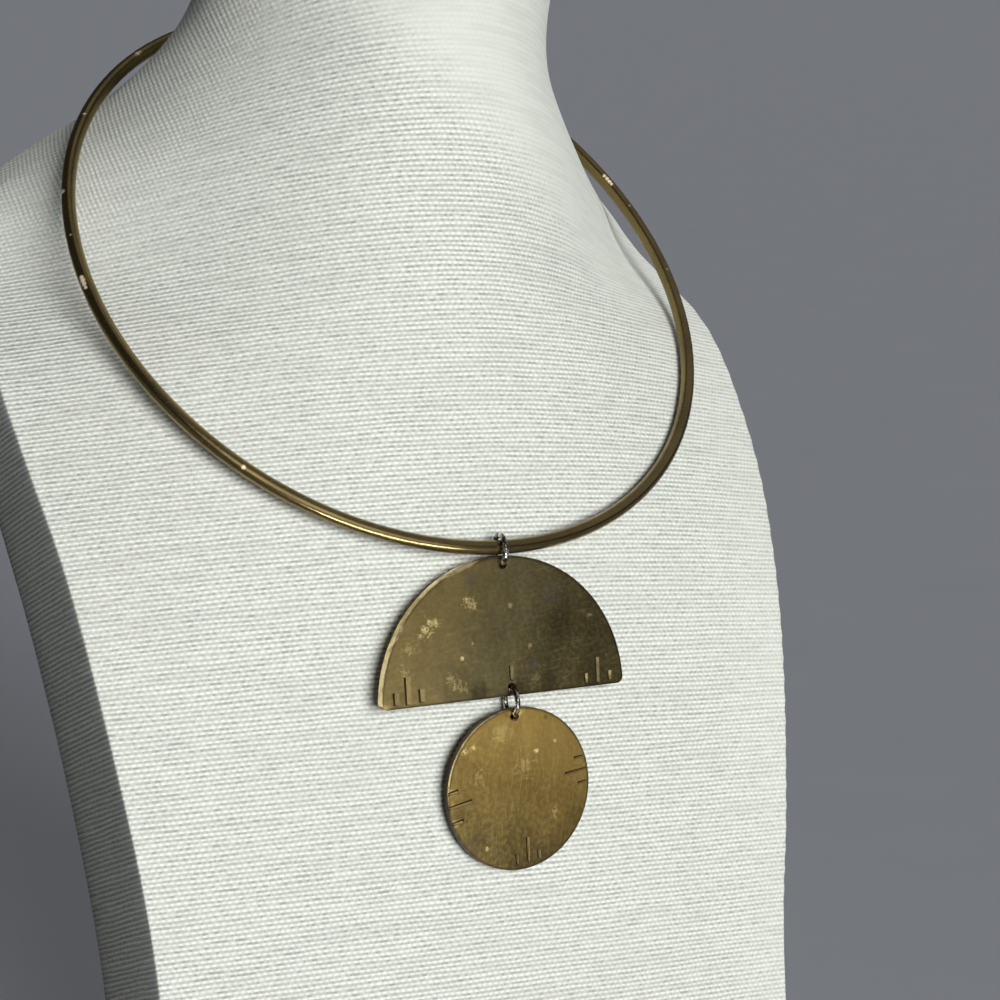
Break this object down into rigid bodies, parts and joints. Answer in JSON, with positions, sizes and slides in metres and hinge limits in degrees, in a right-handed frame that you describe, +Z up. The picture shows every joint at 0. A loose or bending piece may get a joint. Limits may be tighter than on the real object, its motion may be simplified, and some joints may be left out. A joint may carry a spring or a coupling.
{
  "type": "collar necklace on a neck bust",
  "caption": "Rigid round-wire collar necklace with a half disc and a round disc hung on jump rings, worn by a plain linen-covered neck bust.",
  "frame": {"origin": "middle of the whole object's box, on the flat face that the bust stands on", "axes": "+Z up, -Y the way the chest and the pendant face, +X to the right of someone who looks at the chest"},
  "size_m": [0.1564, 0.105, 0.236],
  "materials": {
    "linen": "off-white ribbed linen, stretched over the bust",
    "aged_brass": "dark olive aged brass, polished, with small worn bright spots",
    "ring_metal": "dull nickel-toned round wire",
    "dark_plate": "dark tarnished brass sheet with rubbed bright edges and patches",
    "warm_plate": "warm golden-brown aged brass sheet with fine scratches"
  },
  "bodies": {
    "root": {"bust": "linen", "collar_wire": "aged_brass", "clasp_barrel": "aged_brass", "upper_ring": "ring_metal", "half_disc": "dark_plate", "lower_ring": "ring_metal", "round_disc": "warm_plate"}
  },
  "joints": []
}
